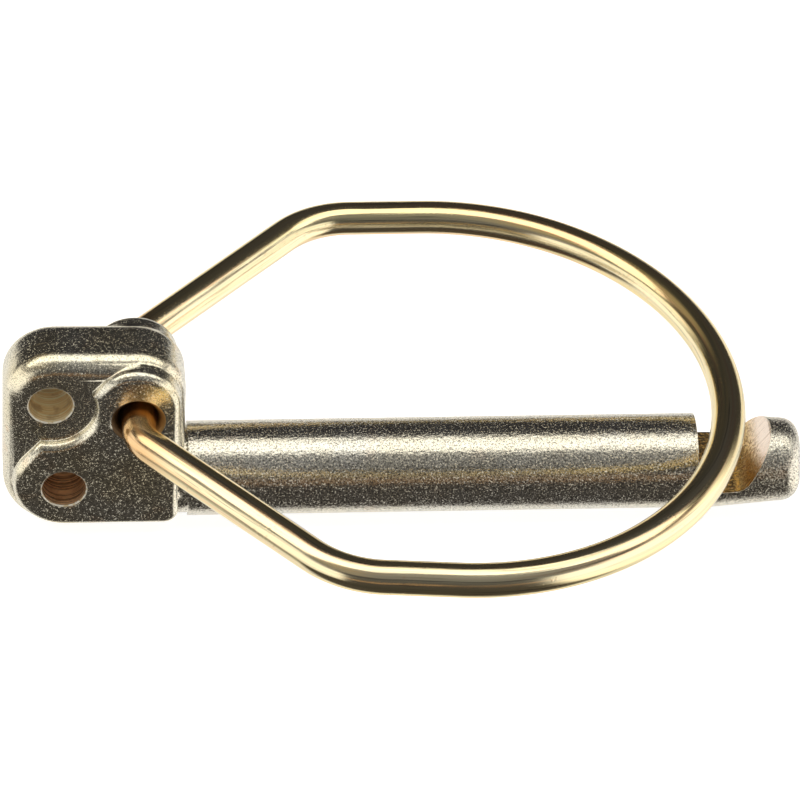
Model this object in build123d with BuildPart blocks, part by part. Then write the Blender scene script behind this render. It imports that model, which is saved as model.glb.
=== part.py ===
"""Pipe lynch pin: a drop-forged pin with a notched tip, and a sprung wire bow hinged through its head.

Millimetres. X runs along the shaft to the tip, Z is up, and the part lies on Z = 0.
"""
import os
from math import acos, atan2, cos, degrees, hypot, radians, sin, tan

from build123d import *

# Shaft and tip
overall_length = 84.3
shaft_radius = 5.0
shaft_lift = 0.05
grip_length = 54.15
neck_depth = 0.3
neck_length = 0.4
tip_end_radius = 4.25
tip_taper_length = 9.2
tip_edge_fillet = 1.9

# Notch that the bow drops into
notch_floor_drop = 0.4
notch_floor_length = 5.0
hook_lean = 59.0
hook_rounding = 1.8

# Core of the head, seen from the side: two lobes, a boss for the bow and a heel
head_length = 19.0
head_height = 22.8
core_half = 3.8
upper_lobe_radius = 5.4
lower_lobe_radius = 6.4
boss_radius = 5.2
boss_from_top = 5.3
core_heel_radius = 3.0
core_edge_fillet = 2.2

# Raised plate on both faces: a smaller boss and lobe, with a bite round the upper hole
step_depth = 1.3
plate_boss_radius = 4.6
plate_lobe_radius = 5.6
plate_lobe_from_end = 6.55
plate_lobe_height = 7.1
plate_heel_radius = 1.6
bite_share = 0.44
bite_rounding = 1.8
plate_edge_fillet = 1.0

# Drilled holes
cord_hole_radius = 2.3
upper_hole_from_end = 4.9
upper_hole_from_top = 5.6
lower_hole_from_end = 6.3
lower_hole_height = 6.8
bow_bore_from_end = 13.95
bow_bore_from_top = 6.8
bow_clearance = 0.45
cord_hole_chamfer = 0.15
bow_bore_chamfer = 0.6

# Bow of bent spring wire, in its own plane from the hinge
wire_radius = 1.8
bow_radius = 29.2
bow_centre_reach = 33.0
bow_corner_half = 7.9
corner_radius = 4.0
knee_radius = 10.7
leg_angle = 46.4
shoulder_angle = 2.5
rest_tilt = 1.9
wire_end_gap = 2.0
wire_end_chamfer = 0.35

# One overrun serves every cut
overrun = 3.0

axis_height = shaft_radius + shaft_lift
neck_radius = shaft_radius - neck_depth
end_x = -overall_length / 2
head_x = end_x + head_length
notch_x = head_x + grip_length
tip_x = overall_length / 2
head_half = core_half + step_depth

upper_lobe = (end_x + upper_lobe_radius, head_height - upper_lobe_radius)
lower_lobe = (end_x + lower_lobe_radius, lower_lobe_radius)
boss = (head_x - boss_radius, head_height - boss_from_top)
core_heel = (head_x - core_heel_radius, core_heel_radius)
upper_hole = (end_x + upper_hole_from_end, head_height - upper_hole_from_top)
lower_hole = (end_x + lower_hole_from_end, lower_hole_height)
bow_bore = (end_x + bow_bore_from_end, head_height - bow_bore_from_top)
bow_bore_radius = wire_radius + bow_clearance
plate_lobe = (end_x + plate_lobe_from_end, plate_lobe_height)
plate_foot = plate_lobe_height - plate_lobe_radius
plate_heel = (boss[0] + plate_boss_radius - plate_heel_radius, plate_foot + plate_heel_radius)
bite_radius = bite_share * hypot(lower_hole[0] - upper_hole[0], lower_hole[1] - upper_hole[1])

side_plane = Plane.XZ
shaft_axis = Axis((0, 0, axis_height), (1, 0, 0))


def along(start, angle, length):
    """Point at a length from the start, along an angle in degrees."""
    return (start[0] + length * cos(radians(angle)), start[1] + length * sin(radians(angle)))


def draw_hull(circles):
    """Arcs and tangent lines round a counterclockwise ring of circles, each a centre and a radius."""
    following = circles[1:] + circles[:1]
    normals = []
    for (centre, radius), (next_centre, next_radius) in zip(circles, following):
        offset = (next_centre[0] - centre[0], next_centre[1] - centre[1])
        heading = degrees(atan2(offset[1], offset[0]))
        normals.append(heading - degrees(acos((radius - next_radius) / hypot(*offset))))
    arriving = normals[-1:] + normals[:-1]
    ring = zip(circles, following, arriving, normals)
    for (centre, radius), (next_centre, next_radius), first, last in ring:
        CenterArc(centre, radius, first, (last - first) % 360)
        Line(along(centre, last, radius), along(next_centre, last, next_radius))


def slab(outline, half, mode=Mode.ADD):
    """Solid of a side outline, as far to both sides of the middle plane."""
    extrude(outline.sketch.moved(Location((0, half, 0))), amount=2 * half, mode=mode)


# Side outline of the head's core
with BuildSketch(side_plane) as core_outline:
    with BuildLine():
        draw_hull(
            [
                (core_heel, core_heel_radius),
                (boss, boss_radius),
                (upper_lobe, upper_lobe_radius),
                (lower_lobe, lower_lobe_radius),
            ]
        )
    make_face()

# Side outline of the raised plates: the bite leaves an S between the boss and the lower lobe
with BuildSketch(side_plane) as plate_outline:
    with BuildLine():
        draw_hull(
            [
                (plate_heel, plate_heel_radius),
                (boss, plate_boss_radius),
                (plate_lobe, plate_lobe_radius),
            ]
        )
    make_face()
    with Locations(upper_hole):
        Circle(bite_radius, mode=Mode.SUBTRACT)
    fillet(plate_outline.edges(Select.NEW).vertices(), bite_rounding)

# Outline of the notch, from its wall along the floor and up the leaning hook
notch_floor = axis_height - notch_floor_drop
notch_top = axis_height + shaft_radius + overrun
hook_foot = notch_x + notch_floor_length
hook_top = hook_foot + (notch_top - notch_floor) / tan(radians(hook_lean))
with BuildSketch(side_plane) as notch_outline:
    with BuildLine():
        Polyline(
            (notch_x, notch_top),
            (notch_x, notch_floor),
            (hook_foot, notch_floor),
            (hook_top, notch_top),
            close=True,
        )
    make_face()
    hook_corner = notch_outline.vertices().group_by(Axis.Y)[0].sort_by(Axis.X)[-1]
    fillet(hook_corner, hook_rounding)

# Core of the head, with well-rounded edges
with BuildPart() as head_core:
    slab(core_outline, core_half)
    fillet(head_core.faces().filter_by(Axis.Y).edges(), core_edge_fillet)

# Raised plates on both faces of the head
with BuildPart() as head_plate:
    slab(plate_outline, head_half)
    fillet(head_plate.faces().filter_by(Axis.Y).edges(), plate_edge_fillet)

# Shaft with a relieved root and a tapered tip, turned about its axis, and the notch cut across it
with BuildPart() as shaft:
    with BuildSketch(side_plane):
        with BuildLine():
            Polyline(
                (boss[0], axis_height),
                (boss[0], axis_height + neck_radius),
                (head_x + neck_length, axis_height + neck_radius),
                (head_x + neck_length, axis_height + shaft_radius),
                (tip_x - tip_taper_length, axis_height + shaft_radius),
                (tip_x, axis_height + tip_end_radius),
                (tip_x, axis_height),
                close=True,
            )
        make_face()
    revolve(axis=shaft_axis)
    fillet(shaft.faces().sort_by(Axis.X)[-1].edges(), tip_edge_fillet)
    slab(notch_outline, shaft_radius + overrun, Mode.SUBTRACT)

# Forged pin: head and shaft in one, with the holes drilled through the head
drillings = (
    (upper_hole, cord_hole_radius, cord_hole_chamfer),
    (lower_hole, cord_hole_radius, cord_hole_chamfer),
    (bow_bore, bow_bore_radius, bow_bore_chamfer),
)
with BuildPart() as pin:
    add(head_plate.part)
    add(head_core.part)
    add(shaft.part)
    for place, radius, rim in drillings:
        with BuildSketch(side_plane.offset(-head_half - overrun)):
            with Locations(place):
                Circle(radius)
        extrude(amount=2 * (head_half + overrun), mode=Mode.SUBTRACT)
        chamfer(pin.edges(Select.NEW).filter_by(GeomType.CIRCLE), rim)
pin.part.label = "pin"

# Bow: both wire ends sit in the head's bore, and the round lies over the notch
bow_plane = Plane(
    origin=(bow_bore[0], 0, bow_bore[1]),
    x_dir=(cos(radians(rest_tilt)), 0, -sin(radians(rest_tilt))),
    z_dir=(sin(radians(rest_tilt)), 0, cos(radians(rest_tilt))),
)
round_end = 90 + shoulder_angle
shoulder = along((bow_centre_reach, 0), round_end, bow_radius)
# The leg and the shoulder's tangent meet at the knee
leg_slope = tan(radians(leg_angle))
shoulder_slope = tan(radians(shoulder_angle))
knee_reach = (shoulder[1] - shoulder_slope * shoulder[0] - bow_corner_half) / (leg_slope - shoulder_slope)
knee = (knee_reach, bow_corner_half + leg_slope * knee_reach)
with BuildLine(bow_plane) as bow_path:
    for side in (-1, 1):
        FilletPolyline(
            (0, side * wire_end_gap / 2),
            (0, side * bow_corner_half),
            (knee[0], side * knee[1]),
            (shoulder[0], side * shoulder[1]),
            radius=(corner_radius, knee_radius),
        )
    CenterArc((bow_centre_reach, 0), bow_radius, -round_end, 2 * round_end)
with BuildPart() as bow:
    with BuildSketch(Plane(origin=(bow_bore[0], wire_end_gap / 2, bow_bore[1]), z_dir=(0, 1, 0))):
        Circle(wire_radius)
    sweep(path=bow_path.wire())
    chamfer(bow.faces().filter_by(GeomType.PLANE).edges(), wire_end_chamfer)
bow.part.label = "bow"

os.makedirs("parts", exist_ok=True)
for piece in (pin, bow):
    export_step(piece.part, f"parts/{piece.part.label}.step")
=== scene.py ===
"""Looks of a lynch pin: a forged, yellow-plated pin and a sprung wire bow on a pale floor."""

import math

import bmesh
import bpy
from mathutils import Matrix, Vector


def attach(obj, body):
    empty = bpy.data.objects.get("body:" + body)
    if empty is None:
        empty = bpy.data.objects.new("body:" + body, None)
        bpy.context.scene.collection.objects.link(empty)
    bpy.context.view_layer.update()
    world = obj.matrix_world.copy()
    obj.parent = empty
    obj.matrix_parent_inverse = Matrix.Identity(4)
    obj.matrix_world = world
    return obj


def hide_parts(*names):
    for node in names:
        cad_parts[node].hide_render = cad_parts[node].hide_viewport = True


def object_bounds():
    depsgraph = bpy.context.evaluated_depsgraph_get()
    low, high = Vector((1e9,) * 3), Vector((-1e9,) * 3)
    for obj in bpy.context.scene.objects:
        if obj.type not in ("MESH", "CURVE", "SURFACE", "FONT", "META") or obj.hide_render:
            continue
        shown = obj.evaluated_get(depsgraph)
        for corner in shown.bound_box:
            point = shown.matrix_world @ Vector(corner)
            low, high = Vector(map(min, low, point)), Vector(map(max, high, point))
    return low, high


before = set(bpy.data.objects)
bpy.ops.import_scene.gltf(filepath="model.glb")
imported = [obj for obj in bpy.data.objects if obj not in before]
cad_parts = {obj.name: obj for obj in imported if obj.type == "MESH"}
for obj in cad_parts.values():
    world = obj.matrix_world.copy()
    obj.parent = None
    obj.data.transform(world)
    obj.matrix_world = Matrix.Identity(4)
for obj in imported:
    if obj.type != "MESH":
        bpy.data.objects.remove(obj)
cad_box = [list(corner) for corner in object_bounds()]

MM = 0.001

# Ends of the part along the shaft
end_x = cad_box[0][0]
tip_x = cad_box[1][0]

# Holes through the head, as a place along the shaft and a height
upper_hole = (end_x + 4.9 * MM, 17.2 * MM)
lower_hole = (end_x + 6.3 * MM, 6.8 * MM)
bow_bore = (end_x + 13.95 * MM, 16.0 * MM)
cord_hole_radius = 2.3 * MM
cord_rim_radius = 2.45 * MM
bow_rim_radius = 2.85 * MM
rims = ((upper_hole, cord_rim_radius), (lower_hole, cord_rim_radius), (bow_bore, bow_rim_radius))

# Notch near the tip, with its hook
notch_x = tip_x - 11.15 * MM
notch_floor = 4.65 * MM
hook_foot = notch_x + 5.0 * MM
hook_lean = math.radians(59.0)

# Stretches along the shaft and upwards in which one finish turns into the next, or a painted shade or
# reflection fades
head_to_shaft = (end_x + 17.15 * MM, end_x + 19.15 * MM)
shaft_to_tip = (tip_x - 7.15 * MM, tip_x - 3.15 * MM)
cord_to_bow_hole = (bow_bore[0] - 5.8 * MM, bow_bore[0] - 3.8 * MM)
# Across the bow's bore, where the painted shade on its wall gives way to amber
bow_bore_shade_fade = (bow_bore[0] - 1.4 * MM, bow_bore[0] + 0.6 * MM)
# Beyond the bow's bore, where the wire's painted reflection of the head fades out
head_reflection_fade = (bow_bore[0] - 0.3 * MM, bow_bore[0] + 4.2 * MM)
lower_to_upper_hole = (9.0 * MM, 13.0 * MM)
floor_to_hook = (5.8 * MM, 8.2 * MM)

# Half width of the line where the dies met, at full height and where it has faded out
parting_line_half = (0.05 * MM, 0.25 * MM)

# Depth of the relief on each finish
forged_relief = 0.052 * MM
drilled_relief = 0.08 * MM
rim_relief = 0.03 * MM
milled_relief = 0.08 * MM
drawn_relief = 0.04 * MM

# How many times the wire's streaks are longer than wide
streak_draw = 50

# Bow, in its own plane from the hinge: reach along the shaft, and half width across it
wire_radius = 1.8 * MM
bow_radius = 29.2 * MM
bow_centre_reach = 33.0 * MM
bow_corner_half = 7.9 * MM
corner_radius = 4.0 * MM
knee_radius = 10.7 * MM
leg_angle = math.radians(46.4)
shoulder_angle = math.radians(2.5)
rest_tilt = math.radians(1.9)
wire_end_gap = 2.0 * MM
wire_end_chamfer = 0.35 * MM
round_corners = 4

# How finely the wire is drawn
wire_step = 0.3 * MM
wire_sides = 40
bend_points = 64

# Making of the pin's skin
weld_gap = 0.002 * MM
rim_bevel = 0.14 * MM
crease_angle = math.radians(32)
face_weight = 80

# Yellow zinc plate: straw where it is thick, grey where it is thin, with rose and olive tints
straw = (0.84, 0.76, 0.56, 1.0)
pale_zinc = (0.82, 0.79, 0.69, 1.0)
shaft_zinc = (0.84, 0.82, 0.78, 1.0)
rose = (0.90, 0.58, 0.34, 1.0)
olive = (0.62, 0.58, 0.36, 1.0)
pit_brown = (0.10, 0.085, 0.065, 1.0)
wire_gold = (0.93, 0.75, 0.38, 1.0)
wire_straw = (0.90, 0.79, 0.54, 1.0)
# Painted reflection of the head's warm face on the wire next to the bore
painted_head_reflection = (0.72, 0.38, 0.15, 1.0)

# Drilled holes with painted shade in the lower hole and the bow's bore, their rims with a painted highlight,
# and the notch
hole_gold = (0.88, 0.71, 0.45, 1.0)
hole_cream = (1.0, 0.95, 0.74, 1.0)
# Lower hole: darker browns, painted shade
lower_hole_shade_brown = (0.36, 0.23, 0.13, 1.0)
lower_hole_shade_tan = (0.86, 0.60, 0.38, 1.0)
hole_stain = (0.30, 0.19, 0.10, 1.0)
# Painted shade on the bow bore's wall: dark brown on the head's side, amber towards the tip
bow_bore_painted_shade = (0.16, 0.10, 0.05, 1.0)
bow_bore_lit_amber = (0.58, 0.35, 0.14, 1.0)
# Painted highlight along the rims: pale cream broken by duller gold
highlight_cream = (1.0, 0.97, 0.88, 1.0)
highlight_dull = (0.72, 0.60, 0.38, 1.0)
notch_brown = (0.70, 0.49, 0.21, 1.0)
hook_pink = (0.95, 0.82, 0.72, 1.0)
cutter_brown = (0.62, 0.42, 0.28, 1.0)
notch_grit = (0.30, 0.18, 0.08, 1.0)

# Floor, and the studio that the metal mirrors
black = (0.0, 0.0, 0.0, 1.0)
white = (1.0, 1.0, 1.0, 1.0)
floor_grey = (0.8, 0.8, 0.8, 1.0)
front_low = (0.09, 0.09, 0.09, 1.0)
front_high = (0.27, 0.27, 0.265, 1.0)
back_wall = (0.040, 0.039, 0.042, 1.0)
near_table = (0.068, 0.062, 0.056, 1.0)
far_table = (1.02, 0.99, 0.92, 1.0)
skirting_brown = (0.70, 0.42, 0.20, 1.0)
ceiling_gold = (0.36, 0.31, 0.22, 1.0)
left_white = (1.35, 1.30, 1.18, 1.0)
right_white = (1.45, 1.40, 1.30, 1.0)
floor_half = 3.0
floor_drop = 0.02 * MM
floor_glow = 0.8

# Lamp over the part
lamp_place = (0.0, 0.004, 0.35)
lamp_target = (0.0, 0.004, 0.0)
lamp_size = (1.0, 0.222)
lamp_watts = 1.15
lamp_colour = (1.0, 0.975, 0.88)

# Camera: turned a little from straight in front of the shaft, raised and rolled
camera_azimuth = math.radians(-6.0)
camera_elevation = math.radians(40.6)
camera_roll = math.radians(3.07)
camera_distance = 0.700
camera_near = 0.05
camera_target = Vector((-0.19 * MM, 0.0, 5.05 * MM))
sensor_width = 36.0
pixels_per_metre = 9460
photo_pixels = 800
pixels_above_target = 64.5


class Value:
    """A node's output. Arithmetic on it adds Math nodes to its tree."""

    def __init__(self, tree, socket):
        self.tree = tree
        self.socket = socket

    def maths(self, operation, *values):
        return self.tree.node("ShaderNodeMath", {"operation": operation}, dict(enumerate(values)))

    def __add__(self, other):
        return self.maths("ADD", self, other)

    def __sub__(self, other):
        return self.maths("SUBTRACT", self, other)

    def __rsub__(self, other):
        return self.maths("SUBTRACT", other, self)

    def __mul__(self, other):
        return self.maths("MULTIPLY", self, other)

    def __abs__(self):
        return self.maths("ABSOLUTE", self)

    __radd__ = __add__
    __rmul__ = __mul__

    def rising(self, low, high):
        """Smooth step from 0 at low to 1 at high."""
        settings = {"interpolation_type": "SMOOTHSTEP"}
        ends = {"Value": self, "From Min": low, "From Max": high}
        return self.tree.node("ShaderNodeMapRange", settings, ends)


class Tree:
    """A node tree that is filled one node at a time."""

    def __init__(self, nodes_of):
        self.nodes = nodes_of.nodes
        self.links = nodes_of.links

    def node(self, kind, settings=None, inputs=None, output=0):
        """Adds a node with its settings and its sockets' values or links, and gives one output."""
        made = self.nodes.new(kind)
        for name, setting in (settings or {}).items():
            setattr(made, name, setting)
        for name, value in (inputs or {}).items():
            socket = made.inputs[name]
            if isinstance(value, Value):
                self.links.new(value.socket, socket)
            else:
                socket.default_value = value
        return Value(self, made.outputs[output])

    def axis(self, place, name):
        """One coordinate of a place."""
        return self.node("ShaderNodeSeparateXYZ", {}, {0: place}, name)

    def mix(self, share, first, second):
        """Colour between two colours."""
        sockets = {0: share, 6: first, 7: second}
        return self.node("ShaderNodeMix", {"data_type": "RGBA"}, sockets, 2)

    def noise(self, place, waves, detail=2.0, roughness=0.5):
        """Cloudy noise with a number of waves to the millimetre."""
        sockets = {"Vector": place, "Scale": waves / MM, "Detail": detail, "Roughness": roughness}
        return self.node("ShaderNodeTexNoise", {}, sockets)

    def stretched_noise(self, place, waves):
        """Noise that runs one way, with its waves to the millimetre along each axis."""
        place = self.node("ShaderNodeMapping", {}, {"Vector": place, "Scale": waves})
        return self.noise(place, waves=1.0)

    def bump(self, height, depth):
        return self.node("ShaderNodeBump", {}, {"Height": height, "Distance": depth})


def surface(name):
    """New material, its tree and its shader."""
    material = bpy.data.materials.new(name)
    material.use_nodes = True
    shader = next(n for n in material.node_tree.nodes if n.type == "BSDF_PRINCIPLED")
    return material, Tree(material.node_tree), shader


def finish_surface(tree, shader, metallic, colour, roughness, normal):
    """Sets how metallic a shader is and links its varying sockets."""
    shader.inputs["Metallic"].default_value = metallic
    for name, value in (("Base Color", colour), ("Roughness", roughness), ("Normal", normal)):
        tree.links.new(value.socket, shader.inputs[name])


def forged_plate():
    """Grainy forged skin under the plate, most pitted on the shaft and roughest at the tip."""
    material, tree, shader = surface("forged_plate")
    place = tree.node("ShaderNodeTexCoord", output="Object")
    lengthwise = tree.axis(place, "X")
    on_shaft = lengthwise.rising(*head_to_shaft)
    on_tip = lengthwise.rising(*shaft_to_tip)
    grain = tree.noise(place, waves=2.3, detail=4.0, roughness=0.65)
    grit = tree.noise(place, waves=5.6, detail=3.0, roughness=0.6)
    dashes = tree.stretched_noise(place, waves=(1.7, 3.4, 3.4))
    drift = tree.noise(place, waves=0.15, detail=3.0)
    tint = tree.noise(place, waves=0.42)
    colour = tree.mix(drift.rising(0.32, 0.70), straw, pale_zinc)
    colour = tree.mix(tint.rising(0.58, 0.74) * 0.25, colour, rose)
    colour = tree.mix((1 - tint).rising(0.58, 0.74) * 0.25, colour, olive)
    colour = tree.mix(on_shaft * 0.5, colour, shaft_zinc)
    colour = tree.mix((1 - grit).rising(0.50, 0.62) * (0.45 + on_shaft * 0.30), colour, pit_brown)
    # The dies met along the middle of the head
    parting_line = (1 - abs(tree.axis(place, "Y")).rising(*parting_line_half)) * (1 - on_shaft)
    skin = (grain * 0.5 + grit.rising(0.59, 0.76) * 0.65) * (1 + on_tip * 2.0)
    normal = tree.bump(skin + dashes * on_shaft * 0.5 + parting_line * 0.25, forged_relief)
    finish_surface(tree, shader, 1.0, colour, 0.17 + drift * 0.08, normal)
    return material


def drilled_bore():
    """Ringed wall of a drilled hole: gold in the upper hole, brown painted shade in the lower, and round the
    wire a painted shade, dark brown on the head's side and amber towards the tip.
    """
    material, tree, shader = surface("drilled_bore")
    place = tree.node("ShaderNodeTexCoord", output="Object")
    lengthwise = tree.axis(place, "X")
    rings = tree.stretched_noise(place, waves=(0.15, 5.2, 0.15))
    patches = tree.noise(place, waves=0.7)
    upper = tree.mix(rings.rising(0.40, 0.66), hole_gold, hole_cream)
    # The lower hole gets darker browns than the upper: painted shade
    lower = tree.mix(rings.rising(0.40, 0.60), lower_hole_shade_brown, lower_hole_shade_tan)
    colour = tree.mix(1 - tree.axis(place, "Z").rising(*lower_to_upper_hole), upper, lower)
    colour = tree.mix(patches.rising(0.52, 0.70) * 0.4, colour, hole_stain)
    # Painted shade: the bow bore's wall is dark brown on the head's side and amber towards the tip
    bow_bore_shaded = tree.mix(lengthwise.rising(*bow_bore_shade_fade), bow_bore_painted_shade, bow_bore_lit_amber)
    colour = tree.mix(lengthwise.rising(*cord_to_bow_hole), colour, bow_bore_shaded)
    normal = tree.bump(rings, drilled_relief)
    finish_surface(tree, shader, 0.7, colour, 0.34 + patches * 0.2, normal)
    return material


def painted_highlight_rim():
    """Painted highlight on the broken edge of a drilled hole or of the notch: a pale, barely metallic strip
    that stays bright under any lamp.
    """
    material, tree, shader = surface("painted_highlight_rim")
    place = tree.node("ShaderNodeTexCoord", output="Object")
    rim_breaks = tree.noise(place, waves=2.6)
    colour = tree.mix(rim_breaks.rising(0.46, 0.66), highlight_cream, highlight_dull)
    normal = tree.bump(rim_breaks, rim_relief)
    finish_surface(tree, shader, 0.25, colour, 0.30 + rim_breaks * 0.2, normal)
    return material


def milled_notch():
    """Plated floor of the notch, grainy and brown, turning pink up the hook."""
    material, tree, shader = surface("milled_notch")
    place = tree.node("ShaderNodeTexCoord", output="Object")
    lines = tree.stretched_noise(place, waves=(0.3, 4.2, 0.3))
    speckle = tree.noise(place, waves=3.0)
    hook = tree.axis(place, "Z").rising(*floor_to_hook)
    floor_grit = speckle.rising(0.48, 0.64) * (1 - hook)
    colour = tree.mix(hook, notch_brown, hook_pink)
    colour = tree.mix(lines.rising(0.50, 0.70) * 0.4, colour, cutter_brown)
    colour = tree.mix(floor_grit * 0.5, colour, notch_grit)
    normal = tree.bump(lines * 0.4 + floor_grit * 0.6, milled_relief)
    finish_surface(tree, shader, 1.0, colour, 0.20 + speckle * 0.10, normal)
    return material


def drawn_wire():
    """Smooth drawn wire under the plate, with streaks that run along it, and a painted copper reflection of
    the head where it leaves the bore.
    """
    material, tree, shader = surface("drawn_wire")
    rim = tree.node("ShaderNodeAttribute", {"attribute_name": "rim"}, output="Vector")
    along = tree.node("ShaderNodeAttribute", {"attribute_name": "along"}, output="Fac")
    run = tree.node("ShaderNodeCombineXYZ", {}, {"Z": along * (1 / streak_draw)})
    place = tree.node("ShaderNodeVectorMath", {"operation": "ADD"}, {0: rim, 1: run})
    streaks = tree.noise(place, waves=1.5, detail=3.0, roughness=0.6)
    fine = tree.noise(place, waves=5.2)
    drift = tree.noise(place, waves=0.52)
    body = tree.node("ShaderNodeTexCoord", output="Object")
    scuffs = tree.noise(body, waves=2.6).rising(0.60, 0.74)
    scuffs = scuffs * tree.noise(body, waves=0.14).rising(0.46, 0.60)
    # Painted reflection: the wire is copper where it leaves the bore, standing in for the head's warm face
    # mirrored in it
    head_reflection_share = 1 - tree.axis(body, "X").rising(*head_reflection_fade)
    colour = tree.mix(drift.rising(0.36, 0.64), wire_gold, wire_straw)
    colour = tree.mix(streaks.rising(0.52, 0.68) * 0.7, colour, rose)
    colour = tree.mix((1 - streaks).rising(0.54, 0.70) * 0.6, colour, olive)
    colour = tree.mix(fine.rising(0.58, 0.72) * 0.5, colour, pit_brown)
    colour = tree.mix(scuffs * 0.4, colour, rose)
    colour = tree.mix(head_reflection_share * 0.55, colour, painted_head_reflection)
    normal = tree.bump(streaks * 0.55 + fine * 0.3 + scuffs * 0.15, drawn_relief)
    finish_surface(tree, shader, 1.0, colour, 0.12 + drift * 0.10, normal)
    return material


def in_bore(point):
    """Whether a face lies inside the rim of a drilled hole."""
    return any(math.hypot(point.x - x, point.z - z) < rim for (x, z), rim in rims)


def on_cord_rim(point, normal):
    """Whether a face is the broken edge of a cord hole, which leans out to the side."""
    reach = min(math.hypot(point.x - x, point.z - z) for x, z in (upper_hole, lower_hole))
    return cord_hole_radius < reach < cord_rim_radius and abs(normal.y) > 0.3


def in_notch(point, normal):
    """Whether a face belongs to the notch: its wall, its floor or the inside of the hook."""
    slack = 0.4 * MM
    hook_x = hook_foot + (point.z - notch_floor) / math.tan(hook_lean)
    between = notch_x - slack < point.x < hook_x + slack and point.z > notch_floor - slack
    on_wall = abs(point.x - notch_x) < 0.1 * slack and normal.x > 0.9
    faces_up = normal.z > 0.4 and normal.x < 0.1 and abs(normal.y) < 0.02
    return between and (on_wall or faces_up and point.x > notch_x)


def plain(piece):
    """The piece with its modifiers turned into a plain mesh."""
    graph = bpy.context.evaluated_depsgraph_get()
    made = bpy.data.meshes.new_from_object(piece.evaluated_get(graph))
    piece.modifiers.clear()
    piece.data = made
    made.name = piece.name
    return piece


def forged_pin():
    """The pin's skin: its solid's facets joined, with smooth normals, a finish for each cut surface, and a
    painted highlight on the rims of the cord holes and the notch.
    """
    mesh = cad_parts["pin"].data.copy()
    mesh.materials.clear()
    for material in (forged_plate(), drilled_bore(), milled_notch(), painted_highlight_rim()):
        mesh.materials.append(material)
    on_skin, on_bore, on_notch, on_highlight_rim = range(len(mesh.materials))
    shape = bmesh.new()
    shape.from_mesh(mesh)
    bmesh.ops.remove_doubles(shape, verts=shape.verts, dist=weld_gap)
    for face in shape.faces:
        centre = face.calc_center_median()
        # The cord holes' rims take the painted highlight
        if on_cord_rim(centre, face.normal):
            face.material_index = on_highlight_rim
        elif in_bore(centre):
            face.material_index = on_bore
        elif in_notch(centre, face.normal):
            face.material_index = on_notch
    notch_rim = []
    for edge in shape.edges:
        if {side.material_index for side in edge.link_faces} == {on_skin, on_notch}:
            notch_rim.append(edge)
    # The notch's rim is bevelled into a thin strip that carries the painted highlight
    bmesh.ops.bevel(
        shape,
        geom=notch_rim,
        offset=rim_bevel,
        offset_type="OFFSET",
        segments=2,
        profile=0.5,
        affect="EDGES",
        clamp_overlap=True,
        material=on_highlight_rim,
    )
    for face in shape.faces:
        face.smooth = True
    shape.to_mesh(mesh)
    shape.free()
    mesh.set_sharp_from_angle(angle=crease_angle)
    skin = bpy.data.objects.new("forged_pin", mesh)
    bpy.context.scene.collection.objects.link(skin)
    even = skin.modifiers.new("even", "WEIGHTED_NORMAL")
    even.keep_sharp = True
    even.weight = face_weight
    return plain(skin)


def bow_corners():
    """Corners of the bow's path, each with its bend's radius and its girth as a share of the wire's."""
    slim = 1 - wire_end_chamfer / wire_radius
    end = wire_end_gap / 2
    round_end = math.pi / 2 + shoulder_angle
    shoulder_x = bow_centre_reach + bow_radius * math.cos(round_end)
    shoulder_y = bow_radius * math.sin(round_end)
    # The leg and the shoulder's tangent meet at the knee
    rise, fall = math.tan(leg_angle), math.tan(shoulder_angle)
    knee_x = (shoulder_y - fall * shoulder_x - bow_corner_half) / (rise - fall)
    knee_y = bow_corner_half + rise * knee_x
    leg = [
        ((0.0, end), 0.0, slim),
        ((0.0, end + wire_end_chamfer), 0.0, 1.0),
        ((0.0, bow_corner_half), corner_radius, 1.0),
        ((knee_x, knee_y), knee_radius, 1.0),
    ]
    turn = 2 * round_end / round_corners
    out = bow_radius / math.cos(turn / 2)
    arc = []
    for step in range(round_corners):
        angle = (step + 0.5) * turn - round_end
        place = (bow_centre_reach + out * math.cos(angle), out * math.sin(angle))
        arc.append((place, bow_radius, 1.0))
    near = [((x, -y), bend, girth) for (x, y), bend, girth in leg]
    return near + arc + leg[::-1]


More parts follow.
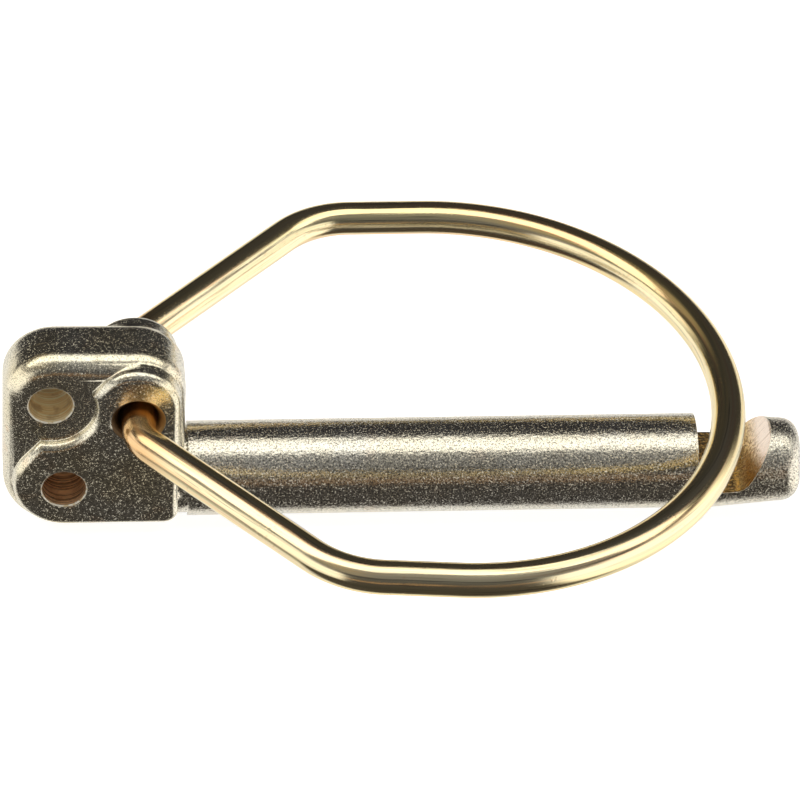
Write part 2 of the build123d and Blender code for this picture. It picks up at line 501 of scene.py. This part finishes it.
def wire_tree():
    """Node tree that rounds a path's corners and sweeps the wire along it."""
    group = bpy.data.node_groups.new("bent_wire", "GeometryNodeTree")
    face = group.interface
    face.new_socket("Geometry", in_out="INPUT", socket_type="NodeSocketGeometry")
    for name, kind, start in (
        ("Wire radius", "NodeSocketFloat", wire_radius),
        ("Step length", "NodeSocketFloat", wire_step),
        ("Sides", "NodeSocketInt", wire_sides),
        ("Bend points", "NodeSocketInt", bend_points),
    ):
        face.new_socket(name, in_out="INPUT", socket_type=kind).default_value = start
    face.new_socket("Finish", in_out="INPUT", socket_type="NodeSocketMaterial")
    face.new_socket("Geometry", in_out="OUTPUT", socket_type="NodeSocketGeometry")
    tree = Tree(group)
    given = group.nodes.new("NodeGroupInput").outputs

    def size(name):
        return Value(tree, given[name])

    def named(name):
        return tree.node("GeometryNodeInputNamedAttribute", {"data_type": "FLOAT"}, {"Name": name})

    def store(geometry, name, kind, value):
        settings = {"data_type": kind, "domain": "POINT"}
        sockets = {"Geometry": geometry, "Name": name, "Value": value}
        return tree.node("GeometryNodeStoreNamedAttribute", settings, sockets)

    path = tree.node("GeometryNodeMeshToCurve", {}, {"Mesh": size("Geometry")})
    rounding = {"Curve": path, "Count": size("Bend points"), "Radius": named("bend")}
    path = tree.node("GeometryNodeFilletCurve", {"mode": "POLY"}, rounding)
    steps = {"Curve": path, "Length": size("Step length")}
    path = tree.node("GeometryNodeResampleCurve", {"mode": "LENGTH"}, steps)
    path = tree.node("GeometryNodeSetCurveRadius", {}, {"Curve": path, "Radius": named("girth")})
    path = store(path, "along", "FLOAT", tree.node("GeometryNodeSplineParameter", output="Length"))
    ring = {"Resolution": size("Sides"), "Radius": size("Wire radius")}
    profile = tree.node("GeometryNodeCurvePrimitiveCircle", {"mode": "RADIUS"}, ring)
    profile = store(profile, "rim", "FLOAT_VECTOR", tree.node("GeometryNodeInputPosition"))
    sweep = {"Curve": path, "Profile Curve": profile, "Fill Caps": True}
    swept = tree.node("GeometryNodeCurveToMesh", {}, sweep)
    swept = tree.node("GeometryNodeRealizeInstances", {}, {"Geometry": swept})
    finish = {"Geometry": swept, "Material": size("Finish")}
    swept = tree.node("GeometryNodeSetMaterial", {}, finish)
    out = group.nodes.new("NodeGroupOutput")
    tree.links.new(swept.socket, out.inputs["Geometry"])
    return group


def sprung_bow():
    """The bow, swept along its bent path in the rest pose."""
    mesh = bpy.data.meshes.new("sprung_bow")
    reach = Vector((math.cos(rest_tilt), 0.0, -math.sin(rest_tilt)))
    hinge = Vector((bow_bore[0], 0.0, bow_bore[1]))
    corners = bow_corners()
    points = [hinge + reach * x + Vector((0.0, y, 0.0)) for (x, y), _, _ in corners]
    mesh.from_pydata(points, [(i, i + 1) for i in range(len(points) - 1)], [])
    bends = [bend for _, bend, _ in corners]
    girths = [girth for _, _, girth in corners]
    for name, values in (("bend", bends), ("girth", girths)):
        mesh.attributes.new(name, "FLOAT", "POINT").data.foreach_set("value", values)
    bow = bpy.data.objects.new("sprung_bow", mesh)
    bpy.context.scene.collection.objects.link(bow)
    wire = bow.modifiers.new("wire", "NODES")
    wire.node_group = wire_tree()
    finish = next(s for s in wire.node_group.interface.items_tree if s.name == "Finish")
    wire[finish.identifier] = drawn_wire()
    plain(bow)
    shape = bmesh.new()
    shape.from_mesh(bow.data)
    bmesh.ops.recalc_face_normals(shape, faces=shape.faces)
    # The wire's sides are quads, and its flat ends are not
    for side in shape.faces:
        side.smooth = len(side.verts) == 4
    shape.to_mesh(bow.data)
    shape.free()
    return bow


def pale_floor():
    """Floor that the camera sees as white with a soft shadow; the metal sees the studio's table instead."""
    corners = [(x * floor_half, y * floor_half, 0.0) for x, y in ((-1, -1), (1, -1), (1, 1), (-1, 1))]
    mesh = bpy.data.meshes.new("pale_floor")
    mesh.from_pydata(corners, [], [(0, 1, 2, 3)])
    floor = bpy.data.objects.new("pale_floor", mesh)
    floor.location.z = -floor_drop
    bpy.context.scene.collection.objects.link(floor)
    material = bpy.data.materials.new("pale_floor")
    material.use_nodes = True
    material.node_tree.nodes.clear()
    tree = Tree(material.node_tree)
    camera = tree.node("ShaderNodeLightPath", output="Is Camera Ray")
    glossy = tree.node("ShaderNodeLightPath", output="Is Glossy Ray")
    clear = tree.node("ShaderNodeLightPath", output="Is Transmission Ray")
    diffuse = tree.node("ShaderNodeBsdfDiffuse", {}, {"Color": floor_grey})
    shine = tree.mix(camera + clear, black, white)
    glow = tree.node("ShaderNodeEmission", {}, {"Color": shine, "Strength": floor_glow})
    seen = tree.node("ShaderNodeAddShader", {}, {0: diffuse, 1: glow})
    unseen = tree.node("ShaderNodeBsdfTransparent")
    both = tree.node("ShaderNodeMixShader", {}, {0: glossy, 1: seen, 2: unseen})
    out = material.node_tree.nodes.new("ShaderNodeOutputMaterial")
    tree.links.new(both.socket, out.inputs["Surface"])
    mesh.materials.append(material)


def studio_sky():
    """White to the camera; to the metal, a dim room with bright sides over a table that is dark in front."""
    world = bpy.data.worlds.new("studio")
    bpy.context.scene.world = world
    world.use_nodes = True
    world.node_tree.nodes.clear()
    tree = Tree(world.node_tree)
    # Each coordinate of the way a ray goes runs from -1 to 1
    way = tree.node("ShaderNodeTexCoord", output="Generated")
    rightward = tree.axis(way, "X")
    leftward = 0 - rightward
    backward = tree.axis(way, "Y")
    upward = tree.axis(way, "Z")
    front = tree.mix(upward.rising(0.2, 0.95), front_low, front_high)
    walls = tree.mix(backward.rising(-0.25, 0.15), front, back_wall)
    table = tree.mix(backward.rising(-0.20, 0.02), near_table, far_table)
    room = tree.mix(upward.rising(-0.06, 0.02), table, walls)
    skirting = upward.rising(-0.04, 0.02) * (1 - upward.rising(0.02, 0.08))
    room = tree.mix(skirting * (1 - backward.rising(-0.6, -0.2)), room, skirting_brown)
    upper_left = leftward.rising(0.05, 0.40) * upward.rising(0.50, 0.70)
    room = tree.mix(upper_left * (1 - backward.rising(0.50, 0.70)) * 0.8, room, ceiling_gold)
    below_top = (1 - upward.rising(0.30, 0.48)) * (1 - backward.rising(0.2, 0.6))
    left_panel = leftward.rising(0.50, 0.62) * upward.rising(-0.45, -0.28) * below_top
    right_panel = rightward.rising(0.48, 0.60) * upward.rising(-0.85, -0.70) * below_top
    room = tree.mix(left_panel, room, left_white)
    room = tree.mix(right_panel, room, right_white)
    camera = tree.node("ShaderNodeLightPath", output="Is Camera Ray")
    colour = tree.mix(camera, room, white)
    light = tree.node("ShaderNodeBackground", {}, {"Color": colour, "Strength": 1.0})
    out = world.node_tree.nodes.new("ShaderNodeOutputWorld")
    tree.links.new(light.socket, out.inputs["Surface"])


def overhead_lamp():
    """Long soft lamp over the part, for the bright stripe along the shaft and the wire."""
    lamp = bpy.data.lights.new("overhead", "AREA")
    lamp.shape = "RECTANGLE"
    lamp.size, lamp.size_y = lamp_size
    lamp.energy = lamp_watts
    lamp.color = lamp_colour
    made = bpy.data.objects.new("overhead", lamp)
    made.location = lamp_place
    aim = Vector(lamp_target) - Vector(lamp_place)
    made.rotation_euler = aim.to_track_quat("-Z", "Y").to_euler()
    bpy.context.scene.collection.objects.link(made)


def photo_camera():
    """Camera at the photograph's angle: a long lens, slightly rolled, above and in front of the shaft."""
    back = Vector(
        (
            math.sin(camera_azimuth) * math.cos(camera_elevation),
            -math.cos(camera_azimuth) * math.cos(camera_elevation),
            math.sin(camera_elevation),
        )
    )
    level = Vector((math.cos(camera_azimuth), math.sin(camera_azimuth), 0.0))
    upright = back.cross(level)
    right = level * math.cos(camera_roll) + upright * math.sin(camera_roll)
    up = upright * math.cos(camera_roll) - level * math.sin(camera_roll)
    data = bpy.data.cameras.new("photo_camera")
    data.sensor_width = sensor_width
    data.lens = sensor_width * camera_distance * pixels_per_metre / photo_pixels
    data.clip_start = camera_near
    camera = bpy.data.objects.new("photo_camera", data)
    turn = Matrix((right, up, back)).transposed()
    centre = camera_target + up * (pixels_above_target / pixels_per_metre)
    camera.matrix_world = Matrix.Translation(centre + back * camera_distance) @ turn.to_4x4()
    bpy.context.scene.collection.objects.link(camera)
    bpy.context.scene.camera = camera


pin = forged_pin()
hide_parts("pin")
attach(pin, "pin")

bow = sprung_bow()
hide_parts("bow")
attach(bow, "bow")

pale_floor()
studio_sky()
overhead_lamp()
photo_camera()
bpy.context.scene.view_settings.view_transform = "Standard"
